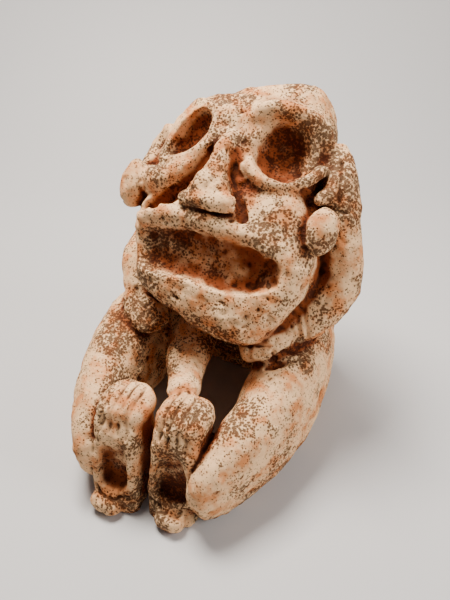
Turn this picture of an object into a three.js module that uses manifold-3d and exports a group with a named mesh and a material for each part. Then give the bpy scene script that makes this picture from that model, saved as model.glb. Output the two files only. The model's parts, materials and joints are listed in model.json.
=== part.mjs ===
// A seated stone figure with a large hollow-eyed head, carved in the round.
// Units are millimetres, +Z is up, the figure faces -Y, and the origin is under the middle of
// its footprint. "Left" and "right" are the figure's own, so its left side is +X.
// Every carved part is its own closed solid, and neighbours keep a seam of GAP between them.
import * as THREE from "three";
import { mergeVertices } from "three/addons/utils/BufferGeometryUtils.js";
import Module from "manifold-3d";

const wasm = await Module();
wasm.setup();

// Driving dimensions
const GAP = 0.3;
const HEAD_WIDTH = 142;
const HEAD_LEAN = THREE.MathUtils.degToRad(31);
const HEAD_ROLL = THREE.MathUtils.degToRad(2.5);
const MOUTH_ROLL = THREE.MathUtils.degToRad(5);
const HEAD_CENTRE = new THREE.Vector3(0, 55, 152);
const EYE = { apart: 74, height: 57, halfWidth: 25, halfHeight: 24, depth: 18 };
const MOUTH = { height: -30, halfWidth: 57, halfHeight: 20, depth: 21 };
const LEG_HEIGHT = 96;
const KNEE_Y = 8;
const KNEE_X = 70;
const FOOT = { width: 38, depth: 36, height: 72, apart: 43, front: -118 };
const TOES = 4;
const ARM_RADIUS = 15;
const BAND_RISE = 1.5;
const BAR_RADIUS = 13;
const FAR = 400; // reaches past the figure on every side

const LEFT = 1;
const RIGHT = -1;
const X_AXIS = new THREE.Vector3(1, 0, 0);
const STONE = { color: 0xc9a384, roughness: 0.92, metalness: 0 };

// ---- from three.js geometry to solids and back ------------------------------------------------

function solidOf(geometry) {
  const bare = geometry.index ? geometry.clone() : geometry;
  bare.deleteAttribute("normal");
  bare.deleteAttribute("uv");
  const merged = mergeVertices(bare, 1e-4);
  return new wasm.Manifold(
    new wasm.Mesh({
      numProp: 3,
      vertProperties: merged.attributes.position.array,
      triVerts: new Uint32Array(merged.index.array),
    }),
  );
}

function geometryOf(solid) {
  const { numProp, numVert, vertProperties, triVerts } = solid.getMesh();
  const positions = new Float32Array(numVert * 3);
  for (let i = 0; i < numVert; i++) {
    positions.set(vertProperties.subarray(i * numProp, i * numProp + 3), i * 3);
  }
  const geometry = new THREE.BufferGeometry();
  geometry.setAttribute("position", new THREE.BufferAttribute(positions, 3));
  geometry.setIndex(new THREE.BufferAttribute(triVerts, 1));
  const flat = geometry.toNonIndexed();
  flat.computeVertexNormals();
  return flat;
}

function largestBody(solid) {
  const bodies = solid.decompose();
  return bodies.reduce((a, b) => (a.volume() > b.volume() ? a : b));
}

// ---- shapes -----------------------------------------------------------------------------------

// A power that keeps the sign, for superellipses.
function signedPower(value, power) {
  return Math.sign(value) * Math.abs(value) ** power;
}

// A unit sphere whose seam and poles meet exactly, ready to be reshaped vertex by vertex.
function unitSphere(around, along, reshape) {
  const geometry = new THREE.SphereGeometry(1, around, along);
  const position = geometry.attributes.position;
  const exact = (value) => Math.round(value * 1e9) / 1e9;
  for (let i = 0; i < position.count; i++) {
    const place = reshape(exact(position.getX(i)), exact(position.getY(i)), exact(position.getZ(i)));
    position.setXYZ(i, ...place);
  }
  return geometry;
}

// A round-ended body along a smooth line through stations of [x, y, z, half width, half height].
// The half width lies along `across`; `square` above 2 squares the section, and `blunt` the ends.
function sweep(stations, { grow = 0, around = 18, along = 12, across = X_AXIS, square = 2, blunt = 4 } = {}) {
  const line = new THREE.CatmullRomCurve3(stations.map(([x, y, z]) => new THREE.Vector3(x, y, z)));
  const sizes = new THREE.CatmullRomCurve3(stations.map(([, , , a, b]) => new THREE.Vector3(a, b, 0)));
  return solidOf(
    unitSphere(around, along, (x, y, z) => {
      const share = (1 - y) / 2;
      const swell = (1 - Math.abs(2 * share - 1) ** blunt) ** (1 / blunt);
      const ring = Math.hypot(x, z) || 1;
      const tangent = line.getTangent(share);
      const side = across.clone().addScaledVector(tangent, -across.dot(tangent)).normalize();
      const up = new THREE.Vector3().crossVectors(tangent, side);
      const size = sizes.getPoint(share);
      const sideways = signedPower(x / ring, 2 / square) * (size.x + grow) * swell;
      const upwards = signedPower(z / ring, 2 / square) * (size.y + grow) * swell;
      const place = line.getPoint(share).addScaledVector(tangent, grow * (2 * share - 1));
      return place.addScaledVector(side, sideways).addScaledVector(up, upwards).toArray();
    }),
  );
}

// A rounded block or ball: a superellipsoid with half sizes `half` round `centre`, turned about Y.
function pebble(centre, half, { grow = 0, square = 2, turn = 0, around = 14, along = 8 } = {}) {
  const geometry = unitSphere(around, along, (...point) => {
    const reach = point.reduce((sum, value) => sum + Math.abs(value) ** square, 0) ** (1 / square);
    return point.map((value, k) => (value * (half[k] + grow)) / reach);
  });
  return solidOf(geometry.rotateY(turn).translate(...centre));
}

function box(low, high) {
  const size = high.map((value, k) => value - low[k]);
  const middle = high.map((value, k) => (value + low[k]) / 2);
  return solidOf(new THREE.BoxGeometry(...size).translate(...middle));
}

// The part of a swept limb between two shares of its length, for bands that wrap round it.
function stretch(stations, from, to, rise) {
  const line = new THREE.CatmullRomCurve3(stations.map(([x, y, z]) => new THREE.Vector3(x, y, z)));
  const sizes = new THREE.CatmullRomCurve3(stations.map(([, , , a, b]) => new THREE.Vector3(a, b, 0)));
  return [0, 0.5, 1].map((step) => {
    const share = from + (to - from) * step;
    const size = sizes.getPoint(share);
    return [...line.getPoint(share).toArray(), size.x + rise, size.y + rise];
  });
}

// ---- the head, in its own leaning frame: -Y is the way the face looks, +Z runs up the face --------

const HALF = HEAD_WIDTH / 2;
const HEAD_STATIONS = [
  [-1, -18, -72, 0.72 * HALF, 32],
  [-2, -20, -50, 0.98 * HALF, 44],
  [-2, -16, -25, 1.01 * HALF, 46],
  [-1, -8, 4, 0.98 * HALF, 44],
  [0, -4, 34, HALF, 46],
  [2, -3, 62, 0.96 * HALF, 44],
  [5, -5, 85, 0.76 * HALF, 37],
  [7, -8, 104, 0.42 * HALF, 22],
];
const NOSE_STATIONS = [
  [1, -46, 58, 8, 8],
  [0, -52, 30, 13, 11],
  [-2, -54, 8, 26, 14],
];

function headMass(grow) {
  return sweep(HEAD_STATIONS, { grow, around: 28, along: 16, square: 2.7, blunt: 9 });
}

function mouthHollow(grow) {
  const centre = [0, -57, MOUTH.height];
  const half = [MOUTH.halfWidth, MOUTH.depth, MOUTH.halfHeight];
  return pebble(centre, half, { grow: -grow, square: 4, turn: MOUTH_ROLL, around: 20, along: 10 });
}

function eyeHollow(side, grow) {
  const centre = [(side * EYE.apart) / 2, -47, EYE.height];
  return pebble(centre, [EYE.halfWidth, EYE.depth, EYE.halfHeight], { grow: -grow, square: 2.4 });
}

function cheekGroove(side, grow) {
  const stations = [
    [side * 17, -55, 34, 5, 7],
    [side * 36, -58, 16, 8, 9],
    [side * 58, -52, 2, 6, 7],
  ];
  return sweep(stations, { grow: -grow, around: 10, along: 8, blunt: 3 });
}

// The seam between skull and jaw runs along the middle of the mouth.
function aboveMouth(grow) {
  const slab = new THREE.BoxGeometry(FAR, FAR, FAR).translate(0, 0, FAR / 2 + GAP / 2 - grow);
  return solidOf(slab.rotateY(MOUTH_ROLL).translate(0, 0, MOUTH.height));
}

function skull(grow) {
  let solid = headMass(grow).intersect(aboveMouth(grow)).subtract(mouthHollow(grow));
  for (const side of [LEFT, RIGHT]) {
    solid = solid.subtract(eyeHollow(side, grow)).subtract(cheekGroove(side, grow));
  }
  return solid;
}

function jaw(grow) {
  return headMass(grow).subtract(aboveMouth(GAP - grow)).subtract(mouthHollow(grow));
}

function nose(grow) {
  return sweep(NOSE_STATIONS, { grow, around: 14, along: 8, square: 2.6, blunt: 6 });
}

function ear(side, grow) {
  const stations = [
    [side * 63, -14, 64, 6, 9],
    [side * 68, -8, 46, 7, 11],
    [side * 69, -20, 28, 6, 9],
  ];
  return sweep(stations, { grow, around: 12, along: 8 });
}

function earDisc(side, grow) {
  return pebble([side * 68 + 4, -35, 10], [14, 14, 18], { grow, around: 12, along: 8 });
}

// ---- the body ------------------------------------------------------------------------------------

const ABOVE_GROUND = box([-FAR, -FAR, 0], [FAR, FAR, FAR]);

function torso(grow) {
  const stations = [
    [0, 84, -10, 52, 30],
    [0, 84, 45, 56, 34],
    [0, 80, 105, 58, 38],
    [0, 74, 155, 60, 34],
    [0, 68, 192, 50, 24],
  ];
  return sweep(stations, { grow, around: 22, along: 11, square: 2.4, blunt: 8 }).intersect(ABOVE_GROUND);
}

// One leg from the hip, round the knee, to the outside of the foot.
function leg(side, grow) {
  const half = LEG_HEIGHT / 2;
  const stations = [
    [side * 42, 106, half - 6, 28, half - 6],
    [side * 60, 62, half - 4, 33, half + 1],
    [side * KNEE_X, KNEE_Y, half - 2, 31, half + 2],
    [side * 69, -38, half - 7, 26, half - 5],
    [side * 57, -82, half - 14, 19, half - 10],
    [side * 46, -112, half - 20, 12, half - 16],
  ];
  return sweep(stations, { grow, around: 18, along: 14, square: 2.4, blunt: 5 }).intersect(ABOVE_GROUND);
}

function thigh(side, grow) {
  return leg(side, grow).intersect(box([-FAR, KNEE_Y + GAP / 2 - grow, -FAR], [FAR, FAR, FAR]));
}

function shin(side, grow) {
  return leg(side, grow).intersect(box([-FAR, -FAR, -FAR], [FAR, KNEE_Y - GAP / 2 + grow, FAR]));
}

// The sole stands on its heel and leans back a little; a hollow is cut in it.
function foot(side, grow) {
  const x = (side * FOOT.apart) / 2;
  const back = FOOT.front + FOOT.depth / 2;
  const shift = side * 3;
  const stations = [
    [x, back + shift, -6, FOOT.width / 2, FOOT.depth / 2],
    [x, back + 7 + shift, FOOT.height / 2, FOOT.width / 2, FOOT.depth / 2],
    [x, back + 15 + shift, FOOT.height, FOOT.width / 2 - 0.5, FOOT.depth / 2 - 1],
  ];
  const mass = sweep(stations, { grow, around: 16, along: 8, square: 5, blunt: 14 });
  const hollow = pebble([x, FOOT.front + shift + 4, 40], [13 - grow, 11 - grow, 25 - grow], { square: 4 });
  return mass.subtract(hollow).intersect(ABOVE_GROUND);
}

function toes(side, grow) {
  const x = (side * FOOT.apart) / 2;
  const shift = side * 3;
  const pitch = FOOT.width / TOES;
  let solid = pebble([x, -82 + shift, 77], [FOOT.width / 2 - 1, 17, 9], { grow, square: 4 });
  for (let k = 0; k < TOES; k++) {
    const toeX = x + (k - (TOES - 1) / 2) * pitch;
    const stations = [
      [toeX, -104 + shift, 73, pitch * 0.55, 5],
      [toeX, -94 + shift, 84, pitch * 0.55, 5],
      [toeX, -66 + shift, 85, pitch * 0.55, 5],
    ];
    solid = solid.add(sweep(stations, { grow, around: 7, along: 6, blunt: 3 }));
  }
  return solid;
}

function heelKnob(side, grow) {
  const x = side * (FOOT.apart / 2 + 3);
  return pebble([x, FOOT.front + 1 + side * 3, 7], [12, 8, 7], { grow, square: 2.6, around: 12, along: 8 });
}

function centralBar(grow) {
  const stations = [
    [13, -66, 82, BAR_RADIUS, BAR_RADIUS - 2],
    [2, -42, 72, BAR_RADIUS, BAR_RADIUS - 2],
    [-9, -12, 72, BAR_RADIUS + 4, BAR_RADIUS],
    [-15, 22, 84, BAR_RADIUS, BAR_RADIUS],
    [-15, 54, 92, BAR_RADIUS, BAR_RADIUS],
  ];
  return sweep(stations, { grow, around: 12, along: 10, blunt: 6 });
}

// ---- the arms: the left elbow stands out beside the head, the right one is tucked in -----------------

const R = ARM_RADIUS;
const UPPER_ARM = {
  [LEFT]: [
    [56, 74, 202, R, R],
    [77, 62, 198, R - 1, R - 1],
    [85, 51, 168, R, R],
    [92, 46, 122, R + 2, R + 2],
  ],
  [RIGHT]: [
    [-44, 72, 184, R + 3, R + 3],
    [-62, 66, 166, R + 2, R + 1],
    [-72, 62, 140, R, R],
    [-77, 58, 112, R + 1, R + 1],
  ],
};
const FOREARM = {
  [LEFT]: [
    [94, 50, 134, R + 1, R + 2],
    [82, 28, 117, R + 2, R + 1],
    [60, 4, 99, R - 1, R - 3],
  ],
  [RIGHT]: [
    [-79, 62, 120, R, R],
    [-74, 32, 113, R, R - 1],
    [-58, 4, 101, R - 1, R - 3],
  ],
};
const BAND_SHARES = { upper: [0.38, 0.6], wrist: [0.66, 0.84] };
const BAND_MIDDLE = (BAND_SHARES.upper[0] + BAND_SHARES.upper[1]) / 2;

function shoulder(side, grow) {
  return sweep(stretch(UPPER_ARM[side], 0, BAND_MIDDLE, 0), { grow, around: 12, along: 6, blunt: 4 });
}

function upperArm(side, grow) {
  return sweep(stretch(UPPER_ARM[side], BAND_MIDDLE, 1, 0), { grow, around: 12, along: 6, blunt: 4 });
}

function forearm(side, grow) {
  return sweep(FOREARM[side], { grow, around: 12, along: 8, blunt: 5 });
}

function armBand(side, grow) {
  const stations = stretch(UPPER_ARM[side], ...BAND_SHARES.upper, BAND_RISE);
  return sweep(stations, { grow, around: 12, along: 5, blunt: 12 });
}

function wristBand(side, grow) {
  const stations = stretch(FOREARM[side], ...BAND_SHARES.wrist, BAND_RISE);
  return sweep(stations, { grow, around: 12, along: 5, blunt: 12 });
}

function hand(side, grow) {
  const stations = [
    [side * 66, 9, 100, 14, 10],
    [side * 52, -3, 93, 17, 11],
    [side * 35, -13, 87, 14, 8],
  ];
  return sweep(stations, { grow, around: 12, along: 7, across: new THREE.Vector3(0.5, 1, 0) });
}

// ---- assembly: a part is cut clear of the ones before it -------------------------------------------

const figure = new THREE.Group();
const head = new THREE.Group();
head.position.copy(HEAD_CENTRE);
head.rotation.set(-HEAD_LEAN, HEAD_ROLL, 0);
figure.add(head);
figure.updateMatrixWorld(true);

const bothSides = (name, make) => [
  [`left_${name}`, (grow) => make(LEFT, grow)],
  [`right_${name}`, (grow) => make(RIGHT, grow)],
];
const HEAD_PARTS = [
  ["skull", skull],
  ["jaw", jaw],
  ["nose", nose],
  ...bothSides("ear_disc", earDisc),
  ...bothSides("ear", ear),
];
const BODY_PARTS = [
  ...bothSides("arm_band", armBand),
  ...bothSides("wrist_band", wristBand),
  ...bothSides("shoulder", shoulder),
  ...bothSides("upper_arm", upperArm),
  ...bothSides("forearm", forearm),
  ...bothSides("hand", hand),
  ["torso", torso],
  ["central_bar", centralBar],
  ...bothSides("foot", foot),
  ...bothSides("toes", toes),
  ...bothSides("heel_knob", heelKnob),
  ...bothSides("thigh", thigh),
  ...bothSides("shin", shin),
];

function touches(a, b) {
  return [0, 1, 2].every((k) => a.min[k] <= b.max[k] && b.min[k] <= a.max[k]);
}

const cutters = [];
for (const [group, parts] of [[head, HEAD_PARTS], [figure, BODY_PARTS]]) {
  const toWorld = group.matrixWorld.toArray();
  const toGroup = group.matrixWorld.clone().invert().toArray();
  for (const [name, make] of parts) {
    let solid = make(0).transform(toWorld);
    const reach = solid.boundingBox();
    for (const cutter of cutters) {
      if (touches(reach, cutter.boundingBox())) {
        solid = solid.subtract(cutter);
      }
    }
    cutters.push(make(GAP).transform(toWorld));
    const shape = geometryOf(largestBody(solid).transform(toGroup));
    const mesh = new THREE.Mesh(shape, new THREE.MeshStandardMaterial(STONE));
    mesh.name = name;
    group.add(mesh);
  }
}

// The arms are not a mirrored pair, so the figure is moved to bring its middle over the origin.
const extent = new THREE.Box3().setFromObject(figure, true);
const middle = extent.getCenter(new THREE.Vector3());
figure.position.set(-middle.x, -middle.y, -extent.min.z);

export default figure;
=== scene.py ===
"""The looks of a seated figure carved from porous stone.

The carving is sculpted as one distance field, in millimetres, in the frame's own coordinates: rounded
masses are melted together, hollows and lines are cut in, and the weathered surface is roughened. The
field is then meshed and parted into one closed piece for each CAD node.
The figure faces -Y and its own left side is +X. "Left" and "right" are the figure's own.
"""

import json
import math

import bpy
import numpy as np
import openvdb as vdb
from mathutils import Euler, Matrix, Vector

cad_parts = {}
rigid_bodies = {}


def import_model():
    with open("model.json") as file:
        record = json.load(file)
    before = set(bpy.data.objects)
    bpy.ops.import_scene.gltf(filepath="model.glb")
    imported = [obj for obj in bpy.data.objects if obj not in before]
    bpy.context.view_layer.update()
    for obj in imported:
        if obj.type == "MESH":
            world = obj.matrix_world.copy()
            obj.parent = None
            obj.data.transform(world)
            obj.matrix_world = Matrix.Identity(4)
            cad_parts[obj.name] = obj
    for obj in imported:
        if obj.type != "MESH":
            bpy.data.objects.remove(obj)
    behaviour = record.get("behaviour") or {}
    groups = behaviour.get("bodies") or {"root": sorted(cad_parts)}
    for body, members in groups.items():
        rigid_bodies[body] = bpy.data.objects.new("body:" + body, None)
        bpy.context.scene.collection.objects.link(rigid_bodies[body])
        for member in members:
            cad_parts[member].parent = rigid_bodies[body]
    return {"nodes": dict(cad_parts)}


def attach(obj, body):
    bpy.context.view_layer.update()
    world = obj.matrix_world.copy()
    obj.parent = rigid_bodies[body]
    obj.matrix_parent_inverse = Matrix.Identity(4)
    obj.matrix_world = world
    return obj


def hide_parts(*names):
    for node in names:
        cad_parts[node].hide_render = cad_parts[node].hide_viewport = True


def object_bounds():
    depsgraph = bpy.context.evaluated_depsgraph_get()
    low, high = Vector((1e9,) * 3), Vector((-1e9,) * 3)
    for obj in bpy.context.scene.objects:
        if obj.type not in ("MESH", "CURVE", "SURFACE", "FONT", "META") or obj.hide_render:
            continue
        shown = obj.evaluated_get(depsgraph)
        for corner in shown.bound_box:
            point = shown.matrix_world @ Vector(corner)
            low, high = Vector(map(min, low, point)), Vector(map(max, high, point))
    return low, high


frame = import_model()
cad_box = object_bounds()

# ---- driving values, in millimetres ------------------------------------------------------------

MM = 0.001  # one millimetre in Blender's metres
VOXEL = 1.0  # the field's grid pitch
MARGIN = 3.0  # room round the CAD box for roughness
BAND = 11.0  # how far from a surface the field is kept
LEFT, RIGHT = 1, -1  # the sign of x on the figure's own left and right side
NODES = list(frame["nodes"])

HEAD_CENTRE = Vector((-2.3, 54.7, 152.0))
HEAD_LEAN = math.radians(-31)
HEAD_ROLL = math.radians(2.5)
HEAD_TURN = Euler((HEAD_LEAN, HEAD_ROLL, 0)).to_matrix()
BODY_SHIFT = Vector((-2.3, -0.3, 0))  # the arms aren't a pair, so the limbs' middle is off the origin


# ---- the field ---------------------------------------------------------------------------------


class Field:
    """Distances to the stone's surface on a regular grid, negative inside it."""

    def __init__(self, low, high):
        self.origin = np.floor(np.array(low) / VOXEL).astype(int) - 3
        self.shape = np.ceil(np.array(high) / VOXEL).astype(int) + 4 - self.origin
        self.values = np.full(self.shape, BAND, np.float32)

    def window(self, low, high):
        """The grid's part between two corners: its slices and its coordinates along each axis."""
        start = np.clip(np.floor(np.array(low) / VOXEL).astype(int) - self.origin, 0, self.shape - 1)
        stop = np.clip(np.ceil(np.array(high) / VOXEL).astype(int) + 1 - self.origin, 1, self.shape)
        slices = tuple(slice(a, b) for a, b in zip(start, stop))
        lines = [(np.arange(a, b) + o) * np.float32(VOXEL) for a, b, o in zip(start, stop, self.origin)]
        return slices, np.ix_(*[line.astype(np.float32) for line in lines])

    def add(self, shape, blend=4.0):
        slices, grid = self.window(shape.low - BAND, shape.high + BAND)
        old = self.values[slices]
        self.values[slices] = smooth_min(old, shape.distance(*grid), blend)

    def cut(self, shape, blend=2.0):
        slices, grid = self.window(shape.low - BAND, shape.high + BAND)
        old = self.values[slices]
        self.values[slices] = -smooth_min(-old, shape.distance(*grid), blend)

    def engrave(self, rows, blend=1.0, steps=16):
        """Cuts a line whose rows are first drawn to the surface; each radius is then also its depth."""
        rows = smooth_rows(rows, steps)
        for _ in range(3):
            rows[:, :3] -= self.slope(rows[:, :3]) * self.sample(rows[:, :3])[:, None]
        self.cut(Strand(rows), blend)

    def slope(self, points):
        """The way out of the stone at each point."""
        steps = np.eye(3)
        slope = np.stack([self.sample(points + step) - self.sample(points - step) for step in steps], 1)
        return slope / (np.linalg.norm(slope, axis=1)[:, None] + 1e-6)

    def stand(self):
        """Cuts away what lies below the ground."""
        height = (np.arange(self.shape[2]) + self.origin[2]) * VOXEL
        self.values = np.maximum(self.values, -height.astype(np.float32))

    def mesh(self):
        """Corner points, in millimetres, and quads facing out."""
        grid = vdb.FloatGrid()
        grid.background = BAND
        grid.copyFromArray(self.values, tolerance=0)
        points, quads = grid.convertToQuads(isovalue=0.0)
        return (points + self.origin) * VOXEL, quads.astype(np.int64)

    def redistance(self):
        """Makes the values true distances again."""
        points, quads = self.mesh()
        self.values = level_set(points, quads, self.origin, self.shape)

    def sample(self, points, values=None):
        """The field, or another array on the same grid, read at points between its corners."""
        values = self.values if values is None else values
        return read_grid(values, np.asarray(points) / VOXEL - self.origin)


def read_grid(values, places):
    """An array read between its corners, at places given in steps of its grid."""
    base = np.clip(np.floor(places).astype(int), 0, np.array(values.shape) - 2)
    part = (places - base).astype(np.float32)
    total = np.zeros(len(places), np.float32)
    for corner in np.ndindex(2, 2, 2):
        weight = np.prod(np.where(corner, part, 1 - part), axis=1)
        total += weight * values[tuple((base + corner).T)]
    return total


def smooth_min(a, b, blend):
    """The lower of two distances, with the crease between them filled over the blend."""
    if blend <= 0:
        return np.minimum(a, b)
    share = np.clip(0.5 + 0.5 * (b - a) / blend, 0, 1)
    return b + (a - b) * share - blend * share * (1 - share)


def level_set(points, quads, origin, shape):
    """Distances to a closed surface on the part of the grid that starts at the origin given."""
    grid = vdb.FloatGrid.createLevelSetFromPolygons(
        points.astype(np.float32),
        quads=quads.astype(np.uint32),
        transform=vdb.createLinearTransform(VOXEL),
        exBandWidth=BAND / VOXEL,
        inBandWidth=BAND / VOXEL,
    )
    values = np.full(shape, BAND, np.float32)
    grid.copyToArray(values, ijk=tuple(int(k) for k in origin))
    return values


class Body:
    """A closed surface through rings of points, as a shape that a field can take."""

    def __init__(self, points, quads):
        self.points, self.quads = points, quads
        self.low, self.high = points.min(0), points.max(0)

    def placed(self, turn, origin):
        """The same shape, drawn in a frame that is turned and then moved to the origin given."""
        return Body(self.points @ np.array(turn).T + np.array(origin), self.quads)

    def distance(self, x, y, z):
        start = [round(float(line.flat[0]) / VOXEL) for line in (x, y, z)]
        return level_set(self.points, self.quads, start, (x.size, y.size, z.size))


class Strand:
    """A round cord through rows of (x, y, z, radius), as a shape that a field can take."""

    def __init__(self, rows):
        self.rows = np.array(rows, np.float32)
        reach = self.rows[:, 3:].max()
        self.low, self.high = self.rows[:, :3].min(0) - reach, self.rows[:, :3].max(0) + reach

    def placed(self, turn, origin):
        moved = self.rows[:, :3] @ np.array(turn, np.float32).T + np.array(origin, np.float32)
        return Strand(np.hstack([moved, self.rows[:, 3:]]))

    def distance(self, x, y, z):
        nearest = np.float32(BAND)
        for a, b in zip(self.rows[:-1], self.rows[1:]):
            step = b[:3] - a[:3]
            t = (x - a[0]) * step[0] + (y - a[1]) * step[1] + (z - a[2]) * step[2]
            t = np.clip(t / (step @ step), 0, 1)
            gap = (x - a[0] - step[0] * t) ** 2
            gap = gap + (y - a[1] - step[1] * t) ** 2
            gap = gap + (z - a[2] - step[2] * t) ** 2
            nearest = np.minimum(nearest, np.sqrt(gap) - a[3] - (b[3] - a[3]) * t)
        return nearest


# ---- shapes ------------------------------------------------------------------------------------


def smooth_rows(rows, steps):
    """Rows of numbers joined by a smooth line, as more rows."""
    rows = np.array(rows, float)
    padded = np.vstack([2 * rows[0] - rows[1], rows, 2 * rows[-1] - rows[-2]])
    at = np.linspace(0, len(rows) - 1, steps)
    base = np.minimum(at.astype(int), len(rows) - 2)
    t = (at - base)[:, None]
    a, b, c, d = (padded[base + k] for k in range(4))
    return 0.5 * (2 * b + (c - a) * t + (2 * a - 5 * b + 4 * c - d) * t**2 + (3 * b - a - 3 * c + d) * t**3)


def sweep(stations, across=(1, 0, 0), square=2.0, blunt=4.0, around=48, along=40):
    """A round-ended body along a smooth line through stations of (x, y, z, half width, half height)."""
    share = (1 - np.cos(np.linspace(0, math.pi, along))) / 2
    dense = smooth_rows(stations, 400)
    at = share * (len(dense) - 1)
    rows = np.array([np.interp(at, np.arange(len(dense)), dense[:, k]) for k in range(5)]).T
    line = rows[:, :3]
    tangent = np.gradient(line, axis=0)
    tangent /= np.linalg.norm(tangent, axis=1)[:, None]
    side = np.array(across, float) - tangent * (tangent @ np.array(across, float))[:, None]
    side /= np.linalg.norm(side, axis=1)[:, None]
    up = np.cross(tangent, side)
    swell = np.clip(1 - np.abs(2 * share - 1) ** blunt, 1e-6, 1) ** (1 / blunt)
    turn = np.linspace(0, 2 * math.pi, around, endpoint=False)
    wide = np.sign(np.cos(turn)) * np.abs(np.cos(turn)) ** (2 / square)
    high = np.sign(np.sin(turn)) * np.abs(np.sin(turn)) ** (2 / square)
    points = (
        line[:, None]
        + side[:, None] * (wide[None, :, None] * (rows[:, 3] * swell)[:, None, None])
        + up[:, None] * (high[None, :, None] * (rows[:, 4] * swell)[:, None, None])
    )
    return solid(points)


def pebble(centre, half, square=2.0, turn=0.0, around=48, along=32):
    """A rounded block or ball: a superellipsoid turned about Y."""
    rise = np.linspace(-math.pi / 2, math.pi / 2, along)[:, None]
    turns = np.linspace(0, 2 * math.pi, around, endpoint=False)[None, :]
    parts = np.cos(rise) * np.cos(turns), np.cos(rise) * np.sin(turns), np.sin(rise) + 0 * turns
    unit = np.stack(parts, -1)
    reach = (np.abs(unit) ** square).sum(-1, keepdims=True) ** (1 / square)
    local = unit / reach * np.array(half, float)
    return solid(local @ np.array(Matrix.Rotation(turn, 3, "Y")).T + np.array(centre, float))


def solid(rings):
    """A closed body through rings of points that starts and ends in a point."""
    count, around = rings.shape[:2]
    ring, step = np.meshgrid(np.arange(count - 1), np.arange(around), indexing="ij")
    first, then = (ring * around + step).ravel(), (ring * around + (step + 1) % around).ravel()
    quads = np.stack([first, then, then + around, first + around], 1)
    points = np.vstack([rings.reshape(-1, 3), rings[0].mean(0), rings[-1].mean(0)])
    low_pole, high_pole, last = count * around, count * around + 1, (count - 1) * around
    for a in range(0, around, 2):
        b, c = a + 1, (a + 2) % around
        quads = np.vstack([quads, [low_pole, c, b, a], [high_pole, last + a, last + b, last + c]])
    return Body(points, quads)


def strand(points, steps=12):
    """A round cord along a smooth line through rows of (x, y, z, radius)."""
    return Strand(smooth_rows(points, steps))


def in_head(shape):
    return shape.placed(HEAD_TURN, HEAD_CENTRE)


def in_body(shape):
    return shape.placed(np.eye(3), BODY_SHIFT)


def shifted(rows):
    """Rows of (x, y, z, radius) drawn on the body, in the frame's own coordinates."""
    return [(x + BODY_SHIFT.x, y + BODY_SHIFT.y, z, radius) for x, y, z, radius in rows]


# ---- the head, drawn in its own leaning frame: -Y is the way the face looks, +Z runs up it --------
# The rows of a sweep are (x, y, z, half width, half height), those of a strand (x, y, z, radius).


def head_masses(stone):
    skull = [
        (-4, -17, -72, 42, 30),
        (-2, -18, -50, 58, 38),
        (0, -14, -25, 69, 43),
        (-1, -8, 4, 69, 43),
        (0, -4, 30, 69, 45),
        (2, -3, 50, 66, 44),
        (5, -4, 66, 60, 42),
        (8, -5, 82, 53, 37),
        (8, -7, 96, 44, 28),
        (6, -8, 105, 28, 18),
    ]
    muzzle = [
        (-6, -22, -71, 42, 35),
        (-3, -22, -61, 54, 40),
        (1, -22, -48, 61, 43),
        (5.5, -21, -25, 69.5, 43.5),
        (5, -20, 0, 67, 41),
        (3, -16, 14, 58, 33),
    ]
    nose = [
        (-4, -44, 62, 5, 8),
        (-4, -50, 48, 7, 9),
        (-4, -54, 34, 10, 11),
        (-4, -57, 22, 15, 12),
        (-4, -57, 12, 19, 11),
    ]
    stone.add(in_head(sweep(skull, square=2.7, blunt=9, around=96, along=80)), 0)
    stone.add(in_head(sweep(muzzle, square=3.6, blunt=9, around=96, along=60)), 6)
    stone.add(in_head(pebble((42, -42, 14), (20, 15, 22))), 8)  # left cheek
    stone.add(in_head(sweep(nose, square=2.2, blunt=6)), 5)
    left_brow = [(10, -42, 80, 5), (24, -42, 86, 6), (42, -37, 85, 6), (55, -25, 79, 6), (60, -20, 68, 5)]
    right_cheek = [
        (-62, -36, 18, 11),
        (-48, -43, 20, 12),
        (-35, -47, 28, 8.5),
        (-25, -49, 37, 5),
        (-19, -48, 45, 3),
    ]
    left_lid = [(14, -48, 44, 4), (28, -51, 37, 5), (42, -50, 36, 5), (56, -44, 42, 5), (62, -34, 52, 4)]
    upper_lip = [
        (-52, -56, -9, 4),
        (-34, -59, -2, 5.5),
        (-6, -61, 1, 6),
        (18, -61, -1, 5),
        (40, -58, -2, 5),
        (58, -52, -8, 5),
    ]
    nose_tip = [
        (-20, -61, 12, 5.5),
        (-12, -64, 13, 6),
        (-2, -66, 14, 6.5),
        (9, -65, 15, 6.5),
        (14, -62, 16, 6),
    ]
    for rows, blend in ((left_brow, 7), (right_cheek, 3), (left_lid, 5), (upper_lip, 5), (nose_tip, 2)):
        stone.add(in_head(strand(rows)), blend)


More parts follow.
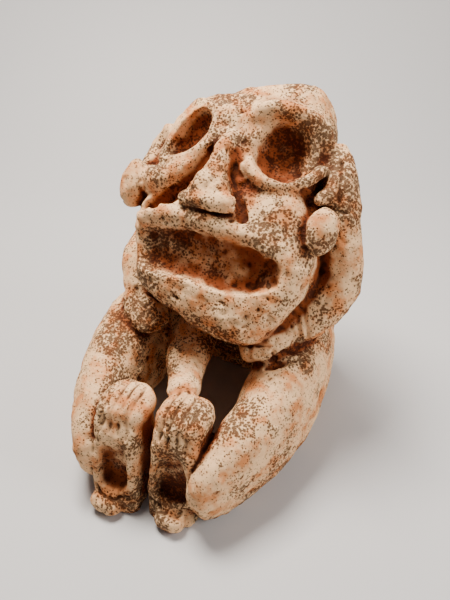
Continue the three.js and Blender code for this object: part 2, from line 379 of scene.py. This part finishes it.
def head_hollows(stone):
    """Eye pockets, the hollow beside the nose, the deep groove on its other side, and the mouth."""
    right_lid = [(-52, -45, 34, 2.5), (-36, -49, 37, 2.5), (-26, -50, 44, 2.5), (-17, -49, 53, 2)]
    nose_hollow = [
        (-50, -50, -2, 6),
        (-42, -52, 4, 7),
        (-31, -53, 15, 7),
        (-22, -54, 28, 6),
        (-17, -53, 43, 4),
    ]
    groove = [(2, -55, 51, 2), (5, -57, 42, 2.8), (9, -59, 31, 3.2), (17, -60, 20, 4.2), (24, -60, 8, 4.5)]
    stone.cut(in_head(pebble((-38, -50, 55), (25, 21, 12.5), 2.5, math.radians(-58))), 1.5)
    stone.cut(in_head(pebble((36, -50, 59), (21, 24, 21), 2.3)), 2)
    stone.add(in_head(strand(right_lid)), 3)
    stone.cut(in_head(strand(nose_hollow)), 3)
    for deep, share in ((0, 1), (3.5, 0.8)):
        stone.cut(in_head(strand([(x, y + deep, z, r * share) for x, y, z, r in groove])), 1.5)
    mouth = [
        (-61, -58, -32, 10, 11),
        (-44, -65, -30, 17, 15.5),
        (-10, -67, -26, 20, 17.5),
        (15, -67, -26, 20, 18),
        (38, -66, -25, 19, 16),
        (59, -62, -23, 11, 9),
    ]
    stone.cut(in_head(sweep(mouth, across=(0, 1, 0), square=3.2, blunt=9)), 2)


def ears(stone):
    """On each side an ear disc, and the hair lock or ear that curls round it."""
    stone.add(in_head(pebble((75, -45, 13), (11.5, 13, 17))), 1.5)
    stone.add(in_head(pebble((-73, -36, 12), (11, 13, 18.5))), 1.5)
    stone.add(in_head(strand([(68, -17, 69, 6), (74, -20, 58, 8), (75, -26, 44, 8), (67, -38, 33, 5)])), 3)
    stone.add(in_head(strand([(-64, -18, 58, 5), (-70, -14, 44, 7), (-70, -24, 30, 7)])), 4)


# ---- the body, drawn upright round the middle of the feet ----------------------------------------

UPPER_ARM = {
    LEFT: [(56, 74, 202, 15, 15), (77, 62, 198, 14, 14), (85, 51, 168, 15, 15), (92, 46, 122, 17, 17)],
    RIGHT: [(-44, 72, 184, 18, 18), (-62, 66, 166, 17, 16), (-72, 62, 140, 15, 15), (-77, 58, 112, 16, 16)],
}
FOREARM = {
    LEFT: [(94, 50, 134, 16, 17), (82, 28, 117, 17, 16), (60, 4, 99, 14, 12)],
    RIGHT: [(-79, 62, 120, 15, 15), (-74, 32, 113, 15, 14), (-58, 4, 101, 14, 12)],
}
FOOT_X = 21.5
FOOT_Y = -100.0
FOOT_WIDTH = 37.0
FOOT_LAG = 3.0  # the right foot stands this much ahead of FOOT_Y, the left one behind it
TOES = 5
TOES_SHARE = 0.95  # of the foot's width that the toes take up
HAND_LINES = 7


def body_masses(stone):
    torso = [
        (0, 84, -10, 52, 30),
        (0, 84, 45, 56, 34),
        (0, 80, 105, 58, 38),
        (0, 74, 155, 60, 34),
        (0, 68, 192, 50, 24),
    ]
    bar = [
        (13, -66, 82, 13, 11),
        (2, -42, 72, 13, 11),
        (-9, -12, 72, 17, 13),
        (-15, 22, 84, 13, 13),
        (-15, 54, 92, 13, 13),
    ]
    stone.add(in_body(sweep(torso, square=2.4, blunt=8, around=80, along=60)), 6)
    for side in (LEFT, RIGHT):
        stone.add(in_body(sweep(UPPER_ARM[side])), 5)
        stone.add(in_body(sweep(FOREARM[side], blunt=5)), 5)
        stone.add(in_body(sweep(leg(side), square=2.4, blunt=5, around=72, along=72)), 6)
        stone.add(in_body(sweep(hand(side), across=(0.5, 1, 0))), 4)
    stone.add(in_body(sweep(bar, blunt=6)), 5)
    for side in (LEFT, RIGHT):
        add_foot(stone, side)


def leg(side):
    return [
        (side * 42, 106, 42, 28, 42),
        (side * 58, 62, 44, 32, 48),
        (side * 67, 8, 46, 29, 49),
        (side * 65, -38, 41, 25, 43),
        (side * 53, -82, 34, 18, 38),
        (side * 42, -112, 28, 12, 30),
    ]


def hand(side):
    return [(side * 66, 9, 100, 14, 10), (side * 52, -3, 93, 17, 11), (side * 35, -13, 87, 14, 8)]


def add_foot(stone, side):
    """A foot stood on its heel, with the sole to the front and the toes curled over on top."""
    x, y = side * FOOT_X, FOOT_Y + side * FOOT_LAG
    half = FOOT_WIDTH / 2
    block = [(x, y, -6, half, 18), (x, y + 7, 36, half, 18), (x, y + 15, 72, half - 0.5, 17)]
    stone.add(in_body(sweep(block, square=5, blunt=14, around=64)), 2)
    stone.cut(in_body(pebble((x, y - 16, 41), (12.5, 14, 23), 4)), 1)
    stone.add(in_body(pebble((x, y + 18, 76), (half, 19, 13), 2.8)), 2)
    stone.add(in_body(pebble((side * 24.5, y - 17, 8), (12, 9, 8), 2.6)), 1)


def engrave_feet(stone):
    """A line over each heel knob, one under the toes, and those between the toes."""
    for side in (LEFT, RIGHT):
        x, y = side * FOOT_X, FOOT_Y + side * FOOT_LAG
        half = FOOT_WIDTH / 2
        heel = [(x - half, y - 14, 18, 1.8), (x, y - 19, 15.5, 2.4), (x + half, y - 14, 18, 1.8)]
        under_toes = [
            (x - half + 1, y - 12, 69, 1),
            (x - 6, y - 18, 66.5, 1.4),
            (x + 6, y - 18, 66.5, 1.4),
            (x + half - 1, y - 12, 69, 1),
        ]
        stone.engrave(shifted(heel))
        stone.engrave(shifted(under_toes))
        for k in range(1, TOES):
            gap = x + (k / TOES - 0.5) * FOOT_WIDTH * TOES_SHARE
            back_to_front = [(34, 87, 1.2), (16, 89, 2.0), (0, 86, 2.4), (-8, 78, 2.1), (-12, 71, 1.0)]
            stone.engrave(shifted([(gap, y + away, z, radius) for away, z, radius in back_to_front]))


def engrave_arms(stone):
    """The left hand's wrist and finger lines, the left upper arm's panel, and the right hand's lines."""
    left_lines = (
        [(70, 6, 127, 1.1), (72.5, 2, 116, 1.4), (76, 1, 104, 1.1)],
        [(74, 11, 124, 1.1), (77, 6, 114, 1.4), (81, 4, 105, 1.1)],
        [(47, -18, 101, 1), (60, -13.5, 104, 1.3), (72, -4, 103, 1)],
        [(50, -21.5, 95, 1), (62, -15.5, 96, 1.3), (74, -4, 96, 1)],
        [(58, -22, 88, 2), (66, -18, 90, 3), (76, -10, 93, 1.8)],
    )
    panel_lines = (
        [(76.5, 61, 216, 2.2), (79.5, 50, 206, 2.6), (82, 44, 196, 2.2)],
        [(83, 56, 209.5, 1), (90, 63, 206.5, 1)],
        [(85, 45.5, 196, 1), (92, 50, 195, 1)],
        [(82, 42.5, 190, 1.2), (88, 43.5, 188.5, 1.4), (93, 47, 190, 1)],
    )
    for rows in (*left_lines, *panel_lines, *right_lines()):
        stone.engrave(shifted(rows), 0.6)


def right_lines():
    """Parallel curved lines round the right hand, which is rolled into a fist under the jaw."""
    for k in range(HAND_LINES):
        share = k / (HAND_LINES - 1)
        x = -74 + 34 * share
        yield [
            (x, 2 - 14 * share, 112 - 4 * share, 0.8),
            (x + 3, -8 - 13 * share, 103 - 6 * share, 1.3),
            (x + 9, -10 - 14 * share, 92 - 8 * share, 0.8),
        ]


# ---- carving ------------------------------------------------------------------------------------

SEED = 7
WEAR = ((15.0, 0.45), (6.0, 0.3), (3.0, 0.22))  # sizes and depths of the weathered unevenness
PIT_SIZE = 3.0
PIT_DEPTH = 1.1
PIT_PATCH = 28.0  # size of the patches in which pits crowd
PIT_RARITY = 1.5  # how strong the noise has to be before it makes a pit
PIT_CROWDING = 0.5  # how much the patches help a pit along
PIT_LIMIT = 1.2  # the strength past which a pit gets no deeper
NOISE_GAIN = 3.0  # brings smoothed noise back to about unit strength


def carve():
    low, high = (np.array(corner) / MM for corner in cad_box)
    stone = Field(low - MARGIN, high + MARGIN)
    head_masses(stone)
    head_hollows(stone)
    ears(stone)
    body_masses(stone)
    stone.redistance()
    engrave_feet(stone)
    engrave_arms(stone)
    stone.stand()
    roughen(stone)
    return stone


def roughen(stone):
    """Weathers the surface: unevenness at a few sizes, and pits that crowd in patches."""
    for seed, (size, depth) in enumerate(WEAR):
        stone.values += depth * lattice_noise(stone, size, SEED + seed)
    holes = lattice_noise(stone, PIT_SIZE, SEED + 10)
    crowd = lattice_noise(stone, PIT_PATCH, SEED + 11)
    stone.values += PIT_DEPTH * np.clip(holes - PIT_RARITY + PIT_CROWDING * crowd, 0, PIT_LIMIT)


def lattice_noise(stone, size, seed):
    """Smooth noise of about unit strength over the whole field, with bumps of one size."""
    first = np.floor(stone.origin * VOXEL / size).astype(int) - 2
    count = np.ceil((stone.origin + stone.shape) * VOXEL / size).astype(int) + 3 - first
    noise = np.random.default_rng(seed).standard_normal(count, dtype=np.float32)
    for start, length, base, knots in zip(stone.origin, stone.shape, first, count):
        at = (np.arange(length) + start) * VOXEL / size - base
        gap = np.abs(at[:, None] - np.arange(knots))
        near = 2 / 3 - gap**2 + gap**3 / 2
        weights = np.where(gap < 1, near, np.clip(2 - gap, 0, None) ** 3 / 6).astype(np.float32)
        noise = np.moveaxis(np.tensordot(weights, noise, (1, 0)), 0, -1)
    return NOISE_GAIN * noise


def fill_share(stone, reach):
    """How much stone lies round each point: a half on flat ground, more in a hollow.

    Two box blurs along each axis come close to a smooth blur.
    """
    share = np.clip(0.5 - stone.values / 2, 0, 1)
    half = round(reach / VOXEL)
    for _ in range(2):
        for _ in range(3):
            padded = np.pad(share, ((half + 1, half), (0, 0), (0, 0)), "edge")
            total = np.cumsum(padded, 0)
            share = (total[2 * half + 1 :] - total[: -2 * half - 1]) / (2 * half + 1)
            share = np.ascontiguousarray(np.moveaxis(share, 0, -1))
    return share


# ---- parting the stone into pieces ----------------------------------------------------------------

LABEL_PITCH = 3.0  # grid pitch of the distances to the CAD nodes
LABEL_REACH = 30.0  # how far from a node its distances are kept
CLEANING_ROUNDS = 4


def node_distances(points):
    """How far each point lies from each CAD node, one row for each node."""
    low = np.floor(points.min(0) / LABEL_PITCH).astype(int) - 2
    shape = np.ceil(points.max(0) / LABEL_PITCH).astype(int) + 3 - low
    rows = []
    for node in NODES:
        values = np.full(shape, LABEL_REACH, np.float32)
        corners, triangles = node_mesh(node)
        grid = vdb.FloatGrid.createLevelSetFromPolygons(
            corners,
            triangles=triangles,
            transform=vdb.createLinearTransform(LABEL_PITCH),
            exBandWidth=LABEL_REACH / LABEL_PITCH,
            inBandWidth=LABEL_REACH / LABEL_PITCH,
        )
        grid.copyToArray(values, ijk=tuple(int(k) for k in low))
        rows.append(read_grid(values, points / LABEL_PITCH - low))
    return np.array(rows)


def node_mesh(node):
    """A CAD node's corner points, in millimetres, and its triangles."""
    part = bpy.data.objects[node]
    mesh = part.data
    mesh.calc_loop_triangles()
    corners = np.empty(len(mesh.vertices) * 3, np.float32)
    mesh.vertices.foreach_get("co", corners)
    triangles = np.empty(len(mesh.loop_triangles) * 3, np.int32)
    mesh.loop_triangles.foreach_get("vertices", triangles)
    world = np.array(part.matrix_world)
    corners = corners.reshape(-1, 3) @ world[:3, :3].T + world[:3, 3]
    return (corners / MM).astype(np.float32), triangles.reshape(-1, 3).astype(np.uint32)


def neighbours(quads):
    """Pairs of quads that share an edge."""
    edges = np.sort(np.stack([quads, np.roll(quads, -1, 1)], -1).reshape(-1, 2), 1)
    owner = np.repeat(np.arange(len(quads)), 4)
    order = np.lexsort((edges[:, 1], edges[:, 0]))
    same = (edges[order][1:] == edges[order][:-1]).all(1)
    return owner[order][:-1][same], owner[order][1:][same]


def label_quads(points, quads):
    """The CAD node each quad belongs to, with no islands: each node keeps its largest patch."""
    labels = node_distances(points[quads].mean(1)).argmin(0)
    one, other = neighbours(quads)
    for _ in range(CLEANING_ROUNDS):
        joined = labels[one] == labels[other]
        island = spread_lowest(len(quads), one[joined], other[joined])
        size = np.bincount(island, minlength=len(quads))
        largest = np.zeros(len(NODES), int)
        np.maximum.at(largest, labels, size[island])
        stray = size[island] < largest[labels]
        if not stray.any():
            break
        for _ in range(len(quads)):
            before = stray.sum()
            for a, b in ((one, other), (other, one)):
                take = stray[a] & ~stray[b]
                labels[a[take]] = labels[b[take]]
                stray[a[take]] = False
            if stray.sum() == before:
                break
    return labels


def main_surface(quads):
    """The quads of the largest connected surface, without any loose specks."""
    island = spread_lowest(len(quads), *neighbours(quads))
    return quads[island == np.bincount(island).argmax()]


def spread_lowest(count, one, other):
    """A shared number for all the quads that the pairs join up."""
    mark = np.arange(count)
    while True:
        lowest = mark.copy()
        np.minimum.at(lowest, mark[one], mark[other])
        np.minimum.at(lowest, mark[other], mark[one])
        lowest = lowest[lowest]
        lowest = lowest[lowest]
        if (lowest == mark).all():
            return mark
        mark = lowest


def boundary_loops(quads):
    """The open edges of a patch, as rings of corner numbers that run against the quads' turn."""
    edges = np.stack([quads, np.roll(quads, -1, 1)], -1).reshape(-1, 2)
    key = edges[:, 0] * (edges.max() + 1) + edges[:, 1]
    back = edges[:, 1] * (edges.max() + 1) + edges[:, 0]
    ways = {}
    for start, end in edges[~np.isin(key, back)]:
        ways.setdefault(int(end), []).append(int(start))
    while ways:
        first = next(iter(ways))
        ring = [first]
        while ring[-1] in ways:
            steps = ways[ring[-1]]
            ring.append(steps.pop())
            if not steps:
                del ways[ring[-2]]
        yield ring[:-1]


LIP = 2.0  # how deep the hidden closing faces start under the surface
INNER_RINGS = (0.4, 0.8)  # how far towards the middle their inner rings lie
GROOVE_REACH = 2.0  # how far round a point the two marks of painted shade look for stone
HOLLOW_REACH = 8.0


def closing(stone, points, ring, first):
    """Hidden faces that close one open edge of a patch, kept inside the stone."""
    lip = points[ring] - LIP * stone.slope(points[ring])
    centre = lip.mean(0)
    rings = [lip]
    for share in INNER_RINGS:
        inner = lip + (centre - lip) * share
        for _ in range(2):
            shallow = np.clip(stone.sample(inner) + 2 * LIP, 0, None)
            inner = inner - stone.slope(inner) * shallow[:, None]
        rings.append(inner)
    count = len(ring)
    start = np.arange(count)
    turn = (start + 1) % count
    edges = [np.array(ring)] + [first + k * count + start for k in range(3)]
    quads = [np.stack([a[start], a[turn], b[turn], b[start]], 1) for a, b in zip(edges, edges[1:])]
    tip = first + 3 * count
    fan = np.stack([edges[3][start], edges[3][turn], np.full(count, tip)], 1)
    return np.vstack(rings + [rings[-1].mean(0)]), np.vstack(quads), fan


def outward(points, quads):
    """A smooth normal at each corner point."""
    a, b, c, d = (points[quads[:, k]] for k in range(4))
    facing = np.cross(c - a, d - b)
    facing /= np.linalg.norm(facing, axis=1)[:, None] + 1e-12
    corners, count = quads.ravel(), len(points)
    total = np.stack([np.bincount(corners, np.repeat(facing[:, k], 4), count) for k in range(3)], 1)
    return total / (np.linalg.norm(total, axis=1)[:, None] + 1e-12)


def make_piece(name, points, faces, normals, marks):
    """A piece with its normals given and with marks, numbers at its points that the material reads."""
    mesh = bpy.data.meshes.new(name)
    mesh.vertices.add(len(points))
    mesh.vertices.foreach_set("co", (points * MM).astype(np.float32).ravel())
    sizes = np.concatenate([np.full(len(part), part.shape[1]) for part in faces])
    corners = np.concatenate([part.ravel() for part in faces])
    mesh.loops.add(len(corners))
    mesh.loops.foreach_set("vertex_index", corners.astype(np.int32))
    mesh.polygons.add(len(sizes))
    mesh.polygons.foreach_set("loop_start", (np.cumsum(sizes) - sizes).astype(np.int32))
    mesh.update(calc_edges=True)
    mesh.shade_smooth()
    mesh.normals_split_custom_set_from_vertices(normals)
    for mark, values in marks.items():
        mesh.attributes.new(mark, "FLOAT", "POINT").data.foreach_set("value", values.astype(np.float32))
    piece = bpy.data.objects.new(name, mesh)
    bpy.context.scene.collection.objects.link(piece)
    return piece


def part_stone(stone, material):
    """One closed piece for each CAD node, with seams that don't show."""
    points, quads = stone.mesh()
    quads = main_surface(quads)
    normals = outward(points, quads)
    labels = label_quads(points, quads)
    # Both marks measure how much stone lies round each point; the material paints shade into the grooves
    # and hollows with them.
    shares = {"groove": fill_share(stone, GROOVE_REACH), "hollow": fill_share(stone, HOLLOW_REACH)}
    for number, node in enumerate(NODES):
        patch = quads[labels == number]
        used = np.unique(patch)
        renumber = np.zeros(len(points), np.int64)
        renumber[used] = np.arange(len(used))
        patch = renumber[patch]
        own, facing = points[used], normals[used]
        faces = [patch]
        for ring in boundary_loops(patch):
            extra, band, fan = closing(stone, own, ring, len(own))
            own = np.vstack([own, extra])
            facing = np.vstack([facing, -stone.slope(extra)])
            faces += [band, fan]
        marks = {mark: stone.sample(own, share) for mark, share in shares.items()}
        piece = make_piece("stone_" + node, own, faces, facing, marks)
        piece.data.materials.append(material)
        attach(piece, "root")
        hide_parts(node)


# ---- materials ----------------------------------------------------------------------------------


class Nodes:
    """Short ways to wire up one material's nodes."""

    def __init__(self, name):
        self.material = bpy.data.materials.new(name)
        self.material.use_nodes = True
        self.tree = self.material.node_tree
        self.shader = self.tree.nodes["Principled BSDF"]

    def put(self, value, socket):
        if isinstance(value, bpy.types.NodeSocket):
            self.tree.links.new(value, socket)
        else:
            socket.default_value = value

    def add(self, kind, output=0, settings=None, **inputs):
        node = self.tree.nodes.new("ShaderNode" + kind)
        for name, value in (settings or {}).items():
            setattr(node, name, value)
        for name, value in inputs.items():
            self.put(value, node.inputs[name.replace("_", " ")])
        return node.outputs[output]

    def math(self, operation, a, b=0.0):
        node = self.tree.nodes.new("ShaderNodeMath")
        node.operation = operation
        self.put(a, node.inputs[0])
        self.put(b, node.inputs[1])
        return node.outputs[0]

    def ramp(self, value, low, high, start=0.0, end=1.0):
        settings = {"interpolation_type": "SMOOTHSTEP"}
        inputs = {"Value": value, "From Min": low, "From Max": high, "To Min": start, "To Max": end}
        return self.add("MapRange", settings=settings, **inputs)

    def mix(self, share, a, b):
        """One colour turned into another as the share goes from 0 to 1."""
        node = self.tree.nodes.new("ShaderNodeMix")
        node.data_type = "RGBA"
        self.put(share, node.inputs[0])
        self.put(a, node.inputs[6])
        self.put(b, node.inputs[7])
        return node.outputs[2]

    def noise(self, place, size, detail=3.0, roughness=0.6):
        """Noise with bumps of a size in millimetres, from 0 to 1."""
        inputs = {"Vector": place, "Scale": 1 / (size * MM), "Detail": detail, "Roughness": roughness}
        return self.add("TexNoise", **inputs)

    def mark(self, name):
        return self.add("Attribute", output=2, settings={"attribute_name": name})


def colour(red, green, blue):
    """A colour given as it looks on screen, 0 to 255, in the shader's linear values."""
    return tuple(((v / 255 + 0.055) / 1.055) ** 2.4 for v in (red, green, blue)) + (1,)


CREAM = colour(244, 198, 148)
TAN = colour(212, 136, 82)
# A brown that is painted into the hollows as shade.
HOLLOW_SHADE = colour(134, 66, 32)
BROWN = colour(58, 24, 10)

# Sizes of the stone's markings, in millimetres.
PATCH = 34
TINT = 14
CELL = 2.1
FLECK = 1.5
BLOT = 2.6
GRAIN = 1.2


def make_stone():
    """Cream and tan stone with painted shade, browner in the hollows and dark in the grooves, and with dark
    pores and stains that crowd in patches.
    """
    n = Nodes("stone")
    place = n.add("TexCoord", output=3)
    tint = n.noise(place, TINT, 4.0)
    base = n.mix(n.ramp(tint, 0.4, 0.66), CREAM, TAN)
    # Painted shade: the more stone lies round a point, the browner the colour, so the hollows look shaded.
    deep = n.ramp(n.math("ADD", n.mark("hollow"), n.math("MULTIPLY", tint, 0.12)), 0.55, 0.68)
    base = n.mix(deep, base, HOLLOW_SHADE)
    stains, groove_shade = stone_marks(n, place)
    # The pores and stains, and the painted shade in the grooves, darken the colour towards brown.
    dark = n.math("MAXIMUM", n.math("MULTIPLY", stains, 0.85), n.math("MULTIPLY", groove_shade, 0.9))
    n.put(n.mix(dark, base, BROWN), n.shader.inputs["Base Color"])
    n.put(0.8, n.shader.inputs["Roughness"])
    n.put(0.12, n.shader.inputs["Specular IOR Level"])
    grain = n.math("MULTIPLY", n.noise(place, GRAIN, 3.0), 0.3)
    height = n.math("SUBTRACT", grain, n.math("MULTIPLY", stains, 0.6))
    n.put(n.add("Bump", Height=height, Distance=1.0 * MM, Strength=0.8), n.shader.inputs["Normal"])
    return n.material


def stone_marks(n, place):
    """Where pores and stains darken the stone, and where painted shade darkens its grooves, each from 0 to
    1.
    """
    crowd = n.ramp(n.noise(place, PATCH, 2.0), 0.4, 0.62, 0.4, 1.15)
    cells = n.add("TexVoronoi", Vector=place, Scale=1 / (CELL * MM), Randomness=1.0)
    flecks = n.math("MULTIPLY", n.noise(place, FLECK, 2.0), 0.5)
    dots = n.math("SUBTRACT", n.math("MULTIPLY", crowd, 0.42), cells)
    dots = n.ramp(n.math("ADD", dots, flecks), 0.12, 0.3)
    blots = n.noise(place, BLOT, 4.0, 0.7)
    blots = n.ramp(n.math("ADD", blots, n.math("MULTIPLY", crowd, 0.16)), 0.66, 0.74)
    # Painted shade: where stone closes round a point, as in the engraved lines, the colour turns dark
    # brown.
    groove_shade = n.ramp(n.math("ADD", n.mark("groove"), n.math("MULTIPLY", blots, 0.08)), 0.53, 0.66)
    return n.math("MAXIMUM", dots, blots), groove_shade


part_stone(carve(), make_stone())


# ---- floor, light and camera, in metres -----------------------------------------------------------

CAMERA_PLACE = (0.1558, -0.3192, 0.3944)
VIEW_TURN = math.radians(24)
VIEW_RISE = math.radians(38)
SWEEP_FRONT = 3.0  # how far the floor reaches in front of the figure
SWEEP_START = 0.38  # how far behind it the floor starts to curve up
SWEEP_BEND = 0.3
SWEEP_STEPS = 24
SWEEP_HALF_WIDTH = 4.0
SWEEP_HEIGHT = 3.0
AIM = (0, 0, 0.1)  # the place that the lights point at


def make_backdrop():
    """A pale grey sweep: a floor that curves up into a wall behind the figure."""
    n = Nodes("backdrop")
    n.put(colour(200, 198, 198), n.shader.inputs["Base Color"])
    n.put(0.6, n.shader.inputs["Roughness"])
    profile = [(-SWEEP_FRONT, 0.0), (SWEEP_START, 0.0)]
    for k in range(1, SWEEP_STEPS + 1):
        turn = math.pi / 2 * k / SWEEP_STEPS
        profile.append((SWEEP_START + SWEEP_BEND * math.sin(turn), SWEEP_BEND * (1 - math.cos(turn))))
    profile.append((SWEEP_START + SWEEP_BEND, SWEEP_HEIGHT))
    along = Vector((-math.sin(VIEW_TURN), math.cos(VIEW_TURN), 0))
    aside = Vector((math.cos(VIEW_TURN), math.sin(VIEW_TURN), 0))
    corners = []
    for away, up in profile:
        for side in (-SWEEP_HALF_WIDTH, SWEEP_HALF_WIDTH):
            corners.append(along * away + aside * side + Vector((0, 0, up)))
    faces = [(2 * k, 2 * k + 1, 2 * k + 3, 2 * k + 2) for k in range(len(profile) - 1)]
    mesh = bpy.data.meshes.new("floor")
    mesh.from_pydata(corners, [], faces)
    mesh.shade_smooth()
    mesh.materials.append(n.material)
    floor = bpy.data.objects.new("floor", mesh)
    bpy.context.scene.collection.objects.link(floor)


def set_world():
    world = bpy.data.worlds.new("studio")
    bpy.context.scene.world = world
    world.use_nodes = True
    sky = world.node_tree.nodes["Background"]
    sky.inputs["Color"].default_value = (0.9, 0.93, 1.0, 1)
    sky.inputs["Strength"].default_value = 0.12


def set_light(name, place, size, power, tint):
    """A square soft light that points at the figure."""
    lamp = bpy.data.lights.new(name, "AREA")
    lamp.size = size
    lamp.energy = power
    lamp.color = tint
    light = bpy.data.objects.new(name, lamp)
    light.location = place
    light.rotation_euler = (Vector(AIM) - Vector(place)).to_track_quat("-Z", "Y").to_euler()
    bpy.context.scene.collection.objects.link(light)


def set_camera():
    back = Vector((0, -1, 0))
    back.rotate(Euler((-VIEW_RISE, 0, VIEW_TURN)))
    lens = bpy.data.cameras.new("camera")
    lens.lens, lens.sensor_width = 36, 36
    camera = bpy.data.objects.new("camera", lens)
    camera.location = CAMERA_PLACE
    camera.rotation_euler = (-back).to_track_quat("-Z", "Y").to_euler()
    bpy.context.scene.collection.objects.link(camera)
    bpy.context.scene.camera = camera


make_backdrop()
set_world()
set_light("key", place=(-0.25, 0.12, 0.95), size=0.35, power=21, tint=(1, 0.94, 0.86))
set_light("side", place=(0.8, 0.05, 0.55), size=0.5, power=7, tint=(1, 0.97, 0.93))
set_camera()
